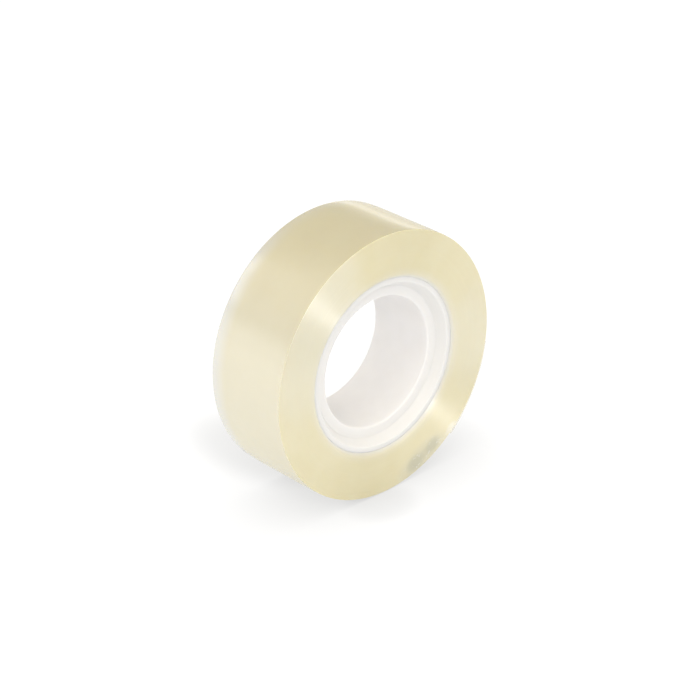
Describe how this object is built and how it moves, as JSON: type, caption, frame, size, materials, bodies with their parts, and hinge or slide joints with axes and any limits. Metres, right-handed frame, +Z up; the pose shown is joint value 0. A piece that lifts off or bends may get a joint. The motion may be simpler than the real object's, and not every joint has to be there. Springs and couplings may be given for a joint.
{
  "type": "adhesive tape roll",
  "caption": "Roll of clear adhesive tape wound on a white plastic core with a bore for a dispenser hub, with a free end that lifts off.",
  "frame": {"origin": "centre of the roll: on the axis of the core's bore, midway between the two side faces of the wound tape", "axes": "+Y along the roll's axis, from the near side face towards the far one; +Z up, with the roll standing on its rim; the free end leaves the roll on the +X side and points down"},
  "size_m": [0.052, 0.0184, 0.052],
  "materials": {
    "core_plastic": "white, slightly milky injection-moulded plastic, satin",
    "clear_tape": "clear film with adhesive, wound many turns deep, pale straw colour, glossy rim and finely grooved sides",
    "clear_film": "single layer of clear glossy film with adhesive"
  },
  "bodies": {
    "roll": {"core": "core_plastic", "wound_tape": "clear_tape"},
    "free_end": {"free_end": "clear_film"}
  },
  "joints": [
    {"name": "free_end_peel", "type": "hinge", "parent": "roll", "child": "free_end", "pos_m": [0.02575, 0, -0.00362], "axis": [0, -1, 0], "range_deg": [0, 110]}
  ]
}
